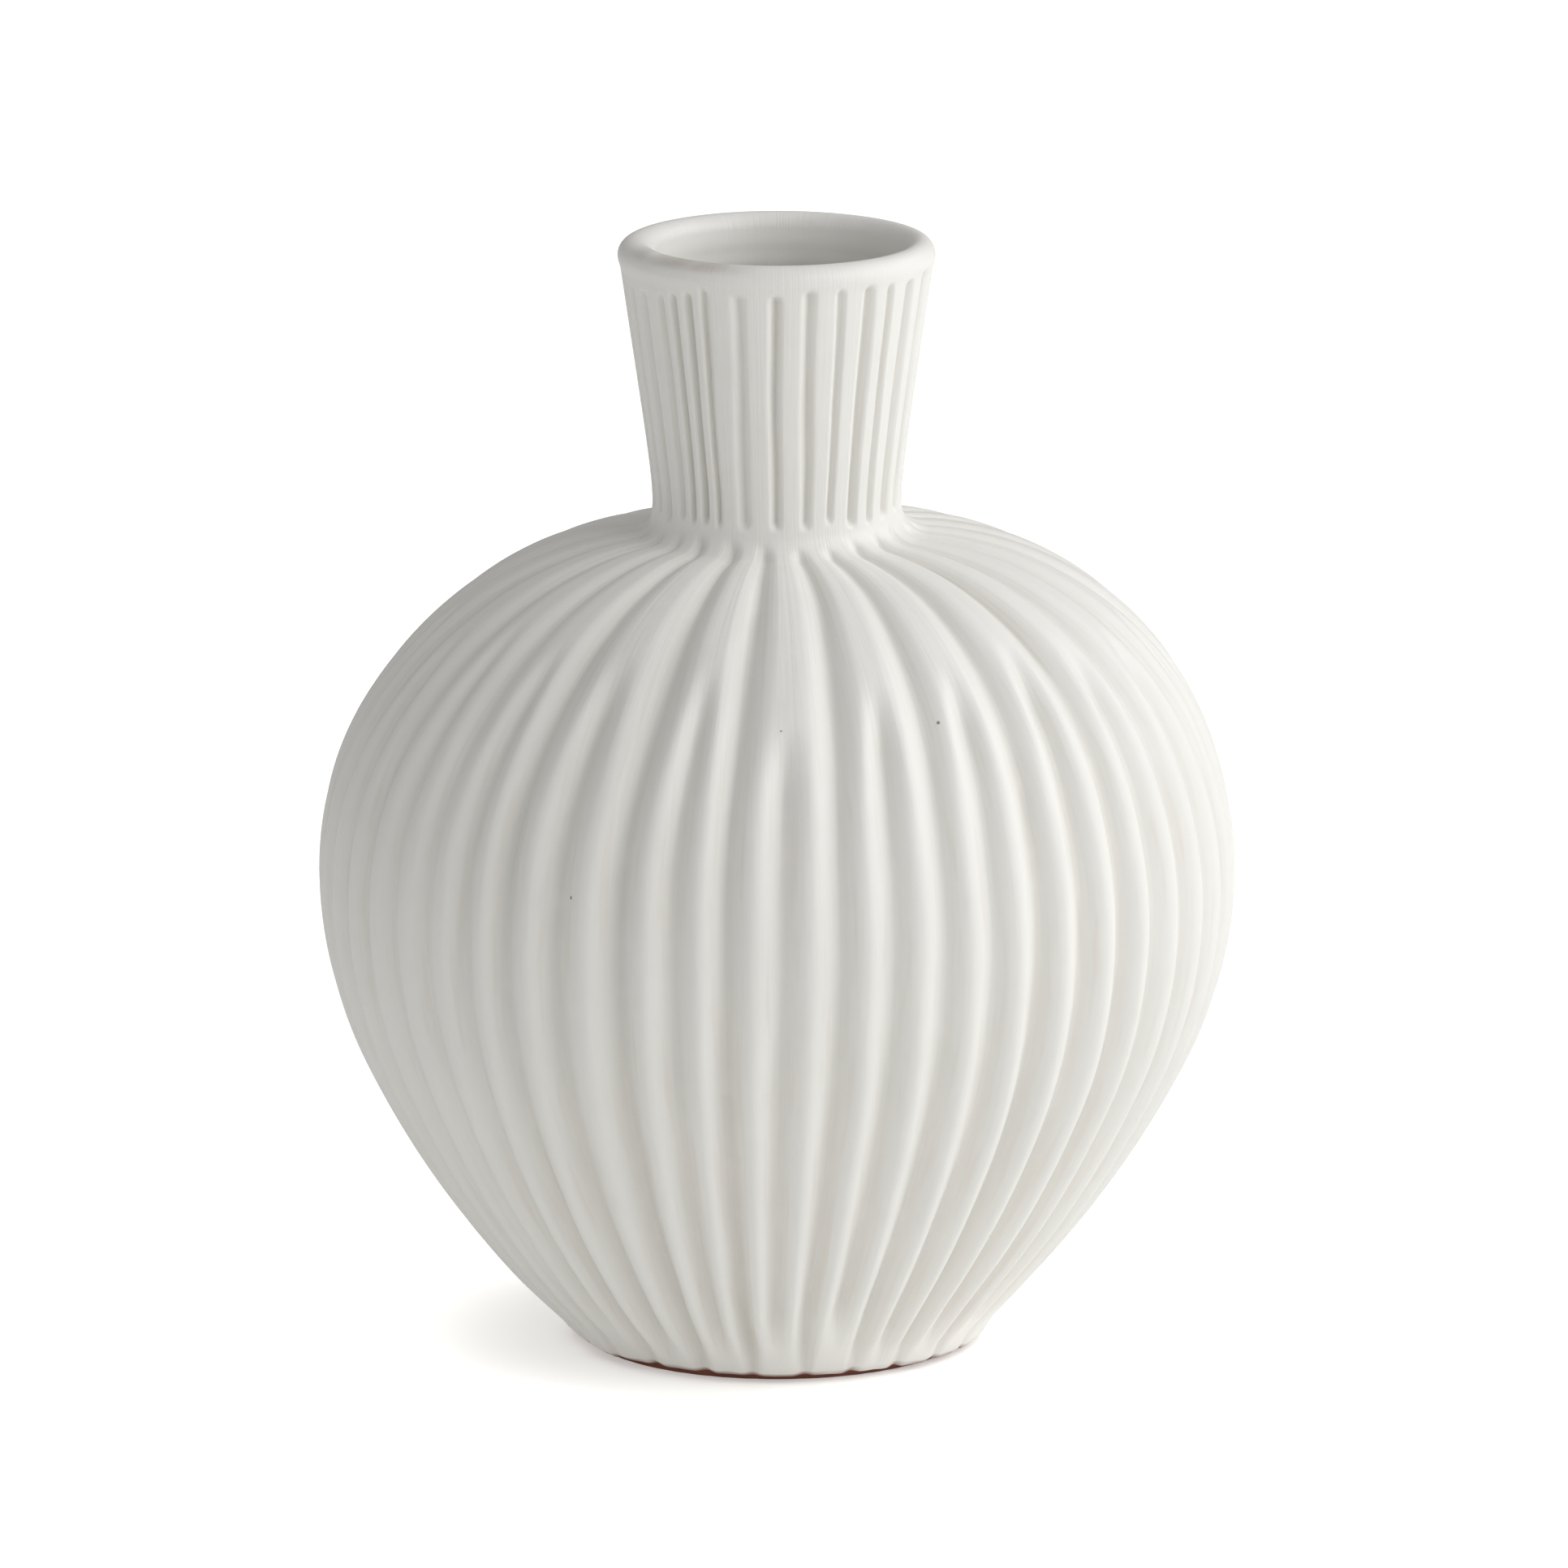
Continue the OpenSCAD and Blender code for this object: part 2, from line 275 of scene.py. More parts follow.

# Table: its colours, its own glow, and the glow that only the camera sees on top of that, in the open
# and in the vase's painted contact shadow
FLOOR_HALF = 5
FLOOR_COLOUR = (0.95, 0.945, 0.93, 1)
FLOOR_ROUGH = 0.9
GLOW_COLOUR = (1, 0.995, 0.98, 1)
FLOOR_GLOW = 0.15
BACKDROP_LIFT = 0.6
SHADOW_LIFT = 0.23
SHADOW_REACH = 20 * MM
SHADOW_SAMPLES = 4
SHADOW_TO_OPEN = (0.3, 0.95)

# Camera, at the height and distance of a catalogue shot
AIM = Vector((1 * MM, 0, 76.6 * MM))
CAMERA_FAR = 2.39
CAMERA_UP = math.radians(13)
LENS_MM = 405
SENSOR_MM = 36
CLIP_END = 50


def smooth(low, high, x):
    """Goes from 0 at low to 1 at high with no corner."""
    t = min(1, max(0, (x - low) / (high - low)))
    return t * t * (3 - 2 * t)


# ---------------------------------------------------------------- node trees

class Flow:
    """A number that flows through a node tree, so that a sum of nodes reads as a sum."""

    def __init__(self, tree, socket):
        self.tree = tree
        self.socket = socket

    def math(self, operation, *others):
        return calculate(self.tree, operation, self, *others)

    def __add__(self, other):
        return self.math("ADD", other)

    def __sub__(self, other):
        return self.math("SUBTRACT", other)

    def __rsub__(self, other):
        return calculate(self.tree, "SUBTRACT", other, self)

    def __mul__(self, other):
        return self.math("MULTIPLY", other)

    def __truediv__(self, other):
        return self.math("DIVIDE", other)


def put(tree, kind, inputs, **settings):
    """Adds a node, with its settings, and joins or sets its inputs by name or place."""
    made = tree.nodes.new(kind)
    for name, value in settings.items():
        setattr(made, name, value)
    for name, value in inputs.items():
        if isinstance(value, Flow):
            value = value.socket
        if isinstance(value, bpy.types.NodeSocket):
            tree.links.new(value, made.inputs[name])
        else:
            made.inputs[name].default_value = value
    return made


def calculate(tree, operation, *values):
    """A Math node on numbers and flows."""
    made = put(tree, "ShaderNodeMath", dict(enumerate(values)), operation=operation)
    return Flow(tree, made.outputs[0])


def ramp(tree, value, low, high, to_low=0.0, to_high=1.0):
    """A Map Range node with soft ends: to_low at low, to_high at high."""
    sockets = {"Value": value, "From Min": low, "From Max": high, "To Min": to_low, "To Max": to_high}
    made = put(tree, "ShaderNodeMapRange", sockets, interpolation_type="SMOOTHSTEP")
    return Flow(tree, made.outputs["Result"])


def add_sockets(tree, inputs, outputs):
    """Gives a node group its named inputs and outputs, with the inputs' starting values."""
    for name, kind, start in inputs:
        made = tree.interface.new_socket(name, in_out="INPUT", socket_type=kind)
        if start is not None:
            made.default_value = start
    for name, kind in outputs:
        tree.interface.new_socket(name, in_out="OUTPUT", socket_type=kind)
    return tree.nodes.new("NodeGroupInput"), tree.nodes.new("NodeGroupOutput")


# ---------------------------------------------------------------- throwing and fluting

def throwing_tree():
    """Turns a profile round the axis into a closed skin, and cuts the flutes that the tool marks
    call for. The profile's points carry what each row needs, and a mark carries its own flute."""
    tree = bpy.data.node_groups.new("throw_and_flute", "GeometryNodeTree")
    given, made = add_sockets(tree, (
        ("Profile", "NodeSocketGeometry", None),
        ("Tool marks", "NodeSocketObject", None),
        ("Columns", "NodeSocketInt", INSIDE_COLUMNS),
        ("Tool half width", "NodeSocketFloat", 1.0),
        ("Set-in length", "NodeSocketFloat", SET_IN_LENGTH),
        ("Glaze thickness", "NodeSocketFloat", GLAZE_T),
        ("Glaze edge wave", "NodeSocketFloat", 0.0),
        ("Glaze run", "NodeSocketFloat", 0.0),
        ("Sway", "NodeSocketFloat", FLUTE_SWAY),
        ("Pressure", "NodeSocketFloat", FLUTE_PRESSURE),
        ("Wobble", "NodeSocketFloat", WOBBLE),
        ("Wobble size", "NodeSocketFloat", WOBBLE_SIZE),
        ("Seed", "NodeSocketFloat", HAND_SEED),
        ("Clay", "NodeSocketMaterial", None),
    ), (("Skin", "NodeSocketGeometry"),))
    size = {socket.name: Flow(tree, socket) for socket in given.outputs if socket.name}
    profile = given.outputs["Profile"]

    # A ring of rings, whose points are then placed one by one
    rows = Flow(tree, put(tree, "GeometryNodeAttributeDomainSize", {"Geometry": profile}).outputs[0])
    around = put(tree, "GeometryNodeCurvePrimitiveCircle", {"Resolution": size["Columns"]})
    loop = put(tree, "GeometryNodeCurvePrimitiveCircle", {"Resolution": rows})
    skin = put(tree, "GeometryNodeCurveToMesh",
               {"Curve": around.outputs["Curve"], "Profile Curve": loop.outputs["Curve"]})
    index = Flow(tree, put(tree, "GeometryNodeInputIndex", {}).outputs[0])
    column = ((index + 0.5) / rows).math("FLOOR")
    row = index - column * rows

    def read(geometry, name, place):
        """What a point of the profile, or a tool mark, says under that name."""
        named = put(tree, "GeometryNodeInputNamedAttribute", {"Name": name}, data_type="FLOAT")
        sample = put(tree, "GeometryNodeSampleIndex",
                     {"Geometry": geometry, "Value": named.outputs[0], "Index": place},
                     data_type="FLOAT", domain="POINT")
        return Flow(tree, sample.outputs[0])

    def of_row(name):
        return read(profile, name, row)

    bearing = column * TURN / size["Columns"]
    east = bearing.math("SINE")
    north = 0 - bearing.math("COSINE")
    direction = put(tree, "ShaderNodeCombineXYZ", {"X": east, "Y": north}).outputs[0]
    radius = of_row("radius")
    height = of_row("height")
    along = of_row("along")

    # The nearest tool mark, and the one on the other side of this ridge
    marks = put(tree, "GeometryNodeObjectInfo", {"Object": size["Tool marks"]}).outputs["Geometry"]
    count = Flow(tree, put(tree, "GeometryNodeAttributeDomainSize", {"Geometry": marks}).outputs[0])
    nearest = put(tree, "GeometryNodeSampleNearest",
                  {"Geometry": marks, "Sample Position": direction}, domain="POINT")
    nearest = Flow(tree, nearest.outputs[0])

    # The hand sways to the side and presses unevenly, so the flute strays from its mark
    hand_place = put(tree, "ShaderNodeCombineXYZ", {
        "X": east * HAND_CHANGES, "Y": north * HAND_CHANGES, "Z": height / HAND_LENGTH}).outputs[0]
    hand = put(tree, "ShaderNodeTexNoise", {"Vector": hand_place, "Scale": 1.0, "Detail": 1.0,
                                           "W": size["Seed"]}, noise_dimensions="4D")
    hand = put(tree, "ShaderNodeSeparateXYZ", {"Vector": hand.outputs["Color"]}).outputs
    sway = (Flow(tree, hand[0]) - 0.5) * 2.0 * size["Sway"] / radius.math("MAXIMUM", LEAST_SWAY_R)
    pressure = (Flow(tree, hand[1]) - 0.5) * size["Pressure"] * 2.0 + 1.0
    offset = (bearing + sway - read(marks, "bearing", nearest)).math("WRAP", math.pi, -math.pi)
    side = offset.math("GREATER_THAN", 0.0) * 2.0 - 1.0
    other = (nearest + side).math("FLOORED_MODULO", count)
    gap = read(marks, "bearing", other) - read(marks, "bearing", nearest)
    gap = gap.math("WRAP", math.pi, -math.pi).math("ABSOLUTE")
    away = offset.math("ABSOLUTE")
    row_reach = of_row("reach")
    roundness = of_row("roundness")

    def flute(mark, angle):
        """How much of a flute is cut at that angle from its mark: 1 in its bottom, 0 on a ridge."""
        reach = row_reach.math("MINIMUM", read(marks, "reach", mark))
        half = (gap * radius * reach).math("MINIMUM", size["Tool half width"])
        share = (angle * radius / half).math("MINIMUM", 1.0)
        hollow = (share * share + roundness * roundness).math("SQRT") - roundness
        full = (roundness * roundness + 1.0).math("SQRT") - roundness
        wall = 1.0 - hollow / full
        until = read(marks, "until", mark)
        since = read(marks, "since", mark)
        top = ramp(tree, along, until - read(marks, "runout", mark), until, 1.0, 0.0)
        bottom = ramp(tree, along, since, since + size["Set-in length"])
        return wall * wall * top * bottom * read(marks, "depth", mark)

    cut = flute(nearest, away).math("SMOOTH_MAX", flute(other, gap - away), RIDGE_BLEND)
    groove = cut.math("MAXIMUM", 0.0)

    # The glaze stops at a wavy edge just above the foot
    wave = put(tree, "ShaderNodeTexNoise", {
        "Vector": direction, "Scale": EDGE_WAVE_SCALE, "Detail": 2.0, "W": size["Seed"]},
        noise_dimensions="4D")
    uneven = (Flow(tree, wave.outputs[0]) - 0.5) * 2.0
    rise = (uneven * EDGE_WAVE_GAIN + groove * EDGE_WAVE_IN_FLUTES) * size["Glaze edge wave"]
    bare = 1.0 - ramp(tree, of_row("above_edge") - rise, -EDGE_SOFTNESS, EDGE_SOFTNESS)
    depth = of_row("cut") * groove * pressure + size["Glaze thickness"] * bare

    out_r = radius - of_row("out_r") * depth
    run = north * RUN_AT_BACK + east * RUN_ON_RIGHT + uneven * RUN_BY_CHANCE + RUN_ALL_ROUND
    run = run * size["Glaze run"]
    run = run.math("SMOOTH_MIN", RUN_LIMIT, RUN_LIMIT_SOFTNESS) * of_row("hang")
    out_z = height - of_row("out_z") * depth - run
    place = put(tree, "ShaderNodeCombineXYZ", {
        "X": east * out_r + of_row("shift"), "Y": north * out_r, "Z": out_z}).outputs[0]

    # The wheel's wobble, less and less of it towards the foot, which stands flat
    shake = put(tree, "ShaderNodeTexNoise", {
        "Vector": place, "Scale": calculate(tree, "DIVIDE", 1.0, size["Wobble size"]),
        "Detail": 1.0, "W": size["Seed"]}, noise_dimensions="4D")
    centred = put(tree, "ShaderNodeVectorMath", {0: shake.outputs["Color"], 1: (0.5, 0.5, 0.5)},
                  operation="SUBTRACT").outputs[0]
    lively = ramp(tree, out_z, *WOBBLE_START_Z) * size["Wobble"] * 2.0
    strength = put(tree, "ShaderNodeCombineXYZ", {
        "X": lively, "Y": lively, "Z": lively * WOBBLE_UP_SHARE})
    moved = put(tree, "ShaderNodeVectorMath", {0: centred, 1: strength.outputs[0]},
                operation="MULTIPLY").outputs[0]

    placed = put(tree, "GeometryNodeSetPosition",
                 {"Geometry": skin.outputs[0], "Position": place, "Offset": moved})
    kept = placed.outputs[0]
    for name, value in (("groove", groove * of_row("fluted")), ("bare", bare),
                        ("thin", of_row("thin")), ("deep", of_row("deep")),
                        ("corner", of_row("corner"))):
        kept = put(tree, "GeometryNodeStoreNamedAttribute",
                   {"Geometry": kept, "Name": name, "Value": value},
                   data_type="FLOAT", domain="POINT").outputs[0]
    kept = put(tree, "GeometryNodeFlipFaces", {"Mesh": kept}).outputs[0]

    # On the axis the points of a row fall together, and the closing edge is left without a face
    kept = put(tree, "GeometryNodeMergeByDistance",
               {"Geometry": kept, "Distance": MERGE_DISTANCE}).outputs[0]
    neighbours = put(tree, "GeometryNodeInputMeshEdgeNeighbors", {}).outputs["Face Count"]
    stray = Flow(tree, neighbours).math("LESS_THAN", 0.5)
    kept = put(tree, "GeometryNodeDeleteGeometry", {"Geometry": kept, "Selection": stray},
               domain="EDGE").outputs[0]
    turned = put(tree, "GeometryNodeInputNamedAttribute", {"Name": "corner"}, data_type="FLOAT")
    sharp = Flow(tree, turned.outputs[0]).math("GREATER_THAN", 0.99)
    kept = put(tree, "GeometryNodeSetShadeSmooth", {"Geometry": kept, "Shade Smooth": True},
               domain="FACE").outputs[0]
    kept = put(tree, "GeometryNodeSetShadeSmooth",
               {"Geometry": kept, "Selection": sharp, "Shade Smooth": False},
               domain="EDGE").outputs[0]
    kept = put(tree, "GeometryNodeRealizeInstances", {"Geometry": kept}).outputs[0]
    kept = put(tree, "GeometryNodeSetMaterial",
               {"Geometry": kept, "Material": size["Clay"]}).outputs[0]
    tree.links.new(kept, made.inputs["Skin"])
    return tree


ROW_VALUES = ("radius", "height", "out_r", "out_z", "cut", "reach", "roundness", "along", "shift",
              "above_edge", "corner", "fluted", "thin", "hang", "deep")
MARK_VALUES = ("bearing", "depth", "since", "until", "runout", "reach")


def point_mesh(name, points, values, place):
    """A mesh of loose points, each of which carries the named values."""
    mesh = bpy.data.meshes.new(name)
    mesh.from_pydata([place(p) for p in points], [], [])
    for value in values:
        layer = mesh.attributes.new(value, "FLOAT", "POINT")
        layer.data.foreach_set("value", [p[value] for p in points])
    made = bpy.data.objects.new(name, mesh)
    bpy.context.scene.collection.objects.link(made)
    return made


def row(radius, height, out=(1, 0), **more):
    """A row of a profile: where it is, which way is outward, and what is cut there."""
    made = {"radius": radius, "height": height, "out_r": out[0], "out_z": out[1], "cut": 0,
            "reach": 1, "roundness": 0.3, "along": 0, "shift": 0, "above_edge": 1, "corner": 0,
            "fluted": 0, "thin": 0, "hang": 0, "deep": 0}
    made.update(more)
    return made


def corner(radius, height, **more):
    """A row where the skin turns sharply."""
    return row(radius, height, corner=1, **more)


def throw(name, tree, profile, marks, material, columns, **sizes):
    """A piece thrown and fluted from its profile, as a plain mesh."""
    made = point_mesh(name, profile, ROW_VALUES, lambda p: (p["radius"], 0, p["height"]))
    modifier = made.modifiers.new("throw_and_flute", "NODES")
    modifier.node_group = tree
    keys = {item.name: item.identifier for item in tree.interface.items_tree
            if item.in_out == "INPUT"}
    values = {"Tool marks": marks, "Columns": columns, "Clay": material, **sizes}
    for title, value in values.items():
        modifier[keys[title]] = value
    bpy.context.view_layer.update()
    depsgraph = bpy.context.evaluated_depsgraph_get()
    mesh = bpy.data.meshes.new_from_object(
        made.evaluated_get(depsgraph), preserve_all_data_layers=True, depsgraph=depsgraph)
    made.modifiers.remove(modifier)
    made.data = mesh
    mesh.name = name
    return made


# ---------------------------------------------------------------- profiles

def arc(centre_r, centre_z, radius, start, end, step):
    """Points of an arc with their outward directions. Angles are above the level."""
    count = max(1, round(abs(end - start) * radius / step))
    angles = [start + (end - start) * k / count for k in range(count + 1)]
    return [(centre_r + radius * math.cos(a), centre_z + radius * math.sin(a),
             (math.cos(a), math.sin(a))) for a in angles]


def lean(z):
    """How far the vase leans to the right at a height."""
    shoulder = smooth(*SHOULDER_LEAN_Z, z) * (1 - smooth(*SHOULDER_UPRIGHT_Z, z))
    foot = (1 - smooth(*FOOT_UPRIGHT_Z, z)) * smooth(*FOOT_LEAN_Z, z)
    return SHOULDER_LEAN * shoulder + FOOT_LEAN * foot


def bulb_outline(step):
    """The bulb's outside, from the foot up to the slip band: points with outward directions."""
    foot_a = -math.asin((LOWER_CZ - FOOT_H) / LOWER_CURVE)
    top_a = math.acos((BAND_R - SHOULDER_CR) / SHOULDER_CURVE)
    lower = arc(LOWER_CR, LOWER_CZ, LOWER_CURVE, foot_a, -TURN_A, step)
    belly = arc(BELLY_CR, BELLY_Z, BELLY_CURVE, -TURN_A, 0, step)
    shoulder = arc(SHOULDER_CR, BELLY_Z, SHOULDER_CURVE, 0, top_a, step)
    return lower[:-1] + belly[:-1] + shoulder


def with_lengths(outline, start=0):
    """Adds to each point how far along the outline it is."""
    lengths = [start]
    for a, b in zip(outline, outline[1:]):
        lengths.append(lengths[-1] + math.dist(a[:2], b[:2]))
    return [(*point, length) for point, length in zip(outline, lengths)]


BULB_LINE = with_lengths(bulb_outline(OUTLINE_STEP))
BULB_LENGTH = BULB_LINE[-1][3]


def length_at(z):
    """How far along the bulb's outline a height is."""
    return next((p[3] for p in BULB_LINE if p[1] >= z), BULB_LENGTH)


def neck_r(z):
    """Radius of the neck's ridges at a height, with the flare where it meets the shoulder."""
    flare = NECK_FLARE * math.exp(-(z - BAND_TOP_Z) / NECK_FLARE_H)
    return NECK_BASE_R + NECK_SLOPE * (z - SEAT_Z) + flare


def flute_depth_at(r, z):
    """Depth of a flute: less towards the neck, most on the lower bulb, fading at the foot."""
    if z > BELLY_Z:
        share = max(0, (r - BAND_R) / (BELLY_R - BAND_R))
        return NECK_END_DEPTH + (FLUTE_DEPTH - NECK_END_DEPTH) * share
    full = FLUTE_DEPTH + (LOWER_FLUTE_DEPTH - FLUTE_DEPTH) * smooth(BELLY_Z, LOWER_FLUTE_Z, z)
    full = FOOT_END_DEPTH + (full - FOOT_END_DEPTH) * smooth(FOOT_EDGE_R, FOOT_END_FROM_R, r)
    above_edge = smooth(FOOT_H, FOOT_H + FLUTE_FADE_H, z)
    return full * (FOOT_EDGE_SHARE + (1 - FOOT_EDGE_SHARE) * above_edge)


def inner_line(inset, low_z, least_r, step):
    """The bulb's outline sunk by inset, from a floor up to the ceiling round the neck's hole."""
    sunk = [(r - out[0] * inset, z - out[1] * inset) for r, z, out in bulb_outline(step)]
    kept = [(r, z) for r, z in sunk
            if z > low_z + FLOOR_CLEARANCE and r > least_r + HOLE_CLEARANCE]
    return [(kept[0][0], low_z), *kept]


def bulb_profile():
    """The bulb's wall: fluted and glazed outside, plain inside."""
    rows = []
    for r, z, out, along in with_lengths(bulb_outline(BULB_STEP)):
        rows.append(row(
            r, z, out, cut=flute_depth_at(r, z), along=along, shift=lean(z), fluted=1,
            above_edge=z - FOOT_H - EDGE_RISE, hang=1 - smooth(FOOT_H, FOOT_H + GLAZE_RUN_H, z),
            reach=SHOULDER_REACH + (SHARED_REACH - SHOULDER_REACH) * smooth(*SPLIT_Z, z),
            roundness=SHOULDER_ROUNDNESS + MORE_BELLY_ROUNDNESS * smooth(*SOFTER_Z, z)))
    rows[0]["corner"] = 1
    rows[-1]["corner"] = 1
    inner = inner_line(GLAZE_T + BULB_WALL_T, FLOOR_Z, HOLE_R, INSIDE_STEP)
    rows += [corner(BAND_R, JOINT_Z), corner(HOLE_R, JOINT_Z), corner(HOLE_R, inner[-1][1])]
    rows += [row(r, z, (-1, 0)) for r, z in reversed(inner)]
    return rows + [corner(SLAB_R, FLOOR_Z), corner(SLAB_R, FOOT_H), corner(FOOT_TOP_R, FOOT_H)]


def band_profile():
    """Slip worked into a hollow curve from the shoulder up to the neck."""
    low_z = BULB_LINE[-1][1]
    width = BAND_R - neck_r(BAND_TOP_Z)
    rise = BAND_TOP_Z - low_z
    bulb_end = Vector(BULB_LINE[-1][2])
    curve = []
    for k in range(BAND_STEPS + 1):
        t = TURN / 4 * (1 - k / BAND_STEPS)
        away = Vector((math.cos(t) / width, math.sin(t) / rise)).normalized()
        away = bulb_end.lerp(away, smooth(0, BAND_STEPS / 2, k)).normalized()
        curve.append((BAND_R - width * math.cos(t), BAND_TOP_Z - rise * math.sin(t), tuple(away)))
    rows = [row(r, z, out, cut=flute_depth_at(r, z), along=along, shift=lean(z), fluted=1,
                reach=SHOULDER_REACH, roundness=SHOULDER_ROUNDNESS)
            for r, z, out, along in with_lengths(curve, BULB_LENGTH)]
    rows[0]["corner"] = 1
    rows[-1]["corner"] = 1
    inside = NECK_BASE_R - GLAZE_T
    return rows + [corner(inside, BAND_TOP_Z), corner(inside, JOINT_Z), corner(BAND_R, JOINT_Z)]


def neck_profile():
    """The neck's wall: fluted and glazed outside, plain inside."""
    heights = [BAND_TOP_Z]
    while heights[-1] < LIP_Z:
        near_end = min(heights[-1] - BAND_TOP_Z, LIP_Z - heights[-1]) < NECK_END_H
        heights.append(min(LIP_Z, heights[-1] + (NECK_END_STEP if near_end else NECK_STEP)))
    rows = [row(neck_r(z), z, NECK_OUT, cut=NECK_FLUTE_DEPTH, along=z, reach=SHARED_REACH,
                fluted=1, roundness=NECK_ROUNDNESS) for z in heights]
    rows[0]["corner"] = 1
    rows[-1]["corner"] = 1
    hidden = NECK_BASE_R - GLAZE_T
    return rows + [
        corner(NECK_TOP_R - NECK_INSET, LIP_Z), corner(HOLE_R, SEAT_Z), corner(HOLE_R, JOINT_Z),
        corner(hidden, JOINT_Z), corner(hidden, BAND_TOP_Z)]


def mouth_shift(r, z):
    """How far the inside of the mouth sits to the right of the outside."""
    inside = smooth(LIP_CR + LIP_ROUND, MOUTH_R, r)
    return MOUTH_SHIFT * inside * smooth(SEAT_Z, LIP_Z, z)


def lip_profile():
    """The rolled lip: out from the neck, over the top and down into the mouth."""
    rows = []
    under = LIP_CZ - LIP_Z
    for k in range(LIP_UNDER_STEPS):
        t = k / LIP_UNDER_STEPS
        swell = (LIP_R - NECK_TOP_R) * smooth(0, 1, t) + NECK_SLOPE * under * t * (1 - t) ** 2
        z = LIP_Z + under * t
        rows.append(row(NECK_TOP_R + swell, z, NECK_OUT, cut=NECK_FLUTE_DEPTH, along=z,
                        reach=SHARED_REACH, fluted=1, roundness=NECK_ROUNDNESS))
    for r, z, out in arc(LIP_CR, LIP_CZ, LIP_ROUND, 0, TURN / 2 - MOUTH_SLOPE, LIP_STEP):
        rows.append(row(r, z, out, along=1, shift=mouth_shift(r, z),
                        thin=smooth(*LIP_TOP_FACING, out[1])))
    rows[0]["corner"] = 1
    rows[-1]["corner"] = 1
    return rows + [
        corner(MOUTH_R + GLAZE_T, MOUTH_END_Z, shift=MOUTH_SHIFT),
        corner(NECK_TOP_R - NECK_INSET, LIP_Z, shift=MOUTH_SHIFT)]


def lining_profile():
    """Glaze over the floor, the inside of the bulb and the neck, with faint throwing rings."""

    def side(depth, rings, step, neck_steps, end):
        """One side of the lining, from the axis up the neck to an end."""
        low_z = FLOOR_Z + depth
        passage = HOLE_R - depth
        line = [(0, low_z), *inner_line(GLAZE_T + BULB_WALL_T + depth, low_z, HOLE_R, step)]
        line.append((passage, line[-1][1]))
        for k in range(neck_steps + 1):
            t = k / neck_steps
            line.append((passage + (end[0] - passage) * t, SEAT_Z + (end[1] - SEAT_Z) * t))
        return [(r + rings * math.sin(TURN * z / RING_PITCH) * (low_z < z < LIP_Z), z)
                for r, z in line]

    hidden = side(0, 0, HIDDEN_LINING_STEP, HIDDEN_LINING_NECK_STEPS,
                  (NECK_TOP_R - NECK_INSET, LIP_Z))
    hidden.append((MOUTH_R + GLAZE_T, MOUTH_END_Z))
    wall = [row(r, z, shift=mouth_shift(r, z)) for r, z in hidden]
    seen = side(GLAZE_T, RING_DEPTH, SEEN_LINING_STEP, SEEN_LINING_NECK_STEPS,
                (MOUTH_END_R, MOUTH_END_Z))
    # Deeper down the mouth the lining takes on painted shade
    open_side = [row(r, z, (-1, 0), shift=mouth_shift(r, z),
                     deep=smooth(MOUTH_END_Z, MOUTH_END_Z - LINING_DEEP_H, z)) for r, z in seen]
    wall[-1]["corner"] = 1
    open_side[-1]["corner"] = 1
    return wall + open_side[::-1]


def foot_profile():
    """The bare clay ring that the vase stands on, which follows the flutes above it."""
    outer = arc(FOOT_LOW_R - FOOT_ROUND, FOOT_ROUND, FOOT_ROUND, -TURN / 4, 0, FOOT_STEP)
    rise = [(FOOT_LOW_R + (FOOT_TOP_R - FOOT_LOW_R) * t ** FOOT_SPREAD_POWER,
             FOOT_ROUND + (FOOT_H - FOOT_ROUND) * t, FOOT_SPREAD_OUT) for t in FOOT_SPREAD_ROWS]
    rows = []
    for r, z, out in outer + rise:
        share = FOOT_FLUTE_LOW_SHARE + (1 - FOOT_FLUTE_LOW_SHARE) * z / FOOT_H
        rows.append(row(r, z, out, cut=FOOT_FLUTE_DEPTH * share, reach=SHARED_REACH,
                        roundness=FOOT_ROUNDNESS))
    rows[-1]["corner"] = 1
    inner = arc(FOOT_IN_R + FOOT_ROUND, FOOT_ROUND, FOOT_ROUND, TURN / 2, TURN * 3 / 4, FOOT_STEP)
    rows += [corner(FOOT_IN_R, FOOT_H)] + [row(r, z, out) for r, z, out in inner]
    return rows


def floor_profile():
    """The clay floor, whose underside shows the rings that the turning tool leaves."""
    under = []
    for k in range(FLOOR_STEPS):
        r = SLAB_R * k / FLOOR_STEPS
        ring = 0.5 - 0.5 * math.cos(TURN * r / TURNING_PITCH)
        under.append(row(r, FOOT_H + TURNING_DEPTH * ring, (0, -1)))
    return under + [corner(SLAB_R, FOOT_H), corner(SLAB_R, FLOOR_Z), corner(0, FLOOR_Z)]


# ---------------------------------------------------------------- tool marks

def mark(bearing, **more):
    """One stroke of the fluting tool, from the foot and as wide as its rows allow unless told."""
    made = {"bearing": bearing, "since": -1, "reach": 1}
    made.update(more)
    return made


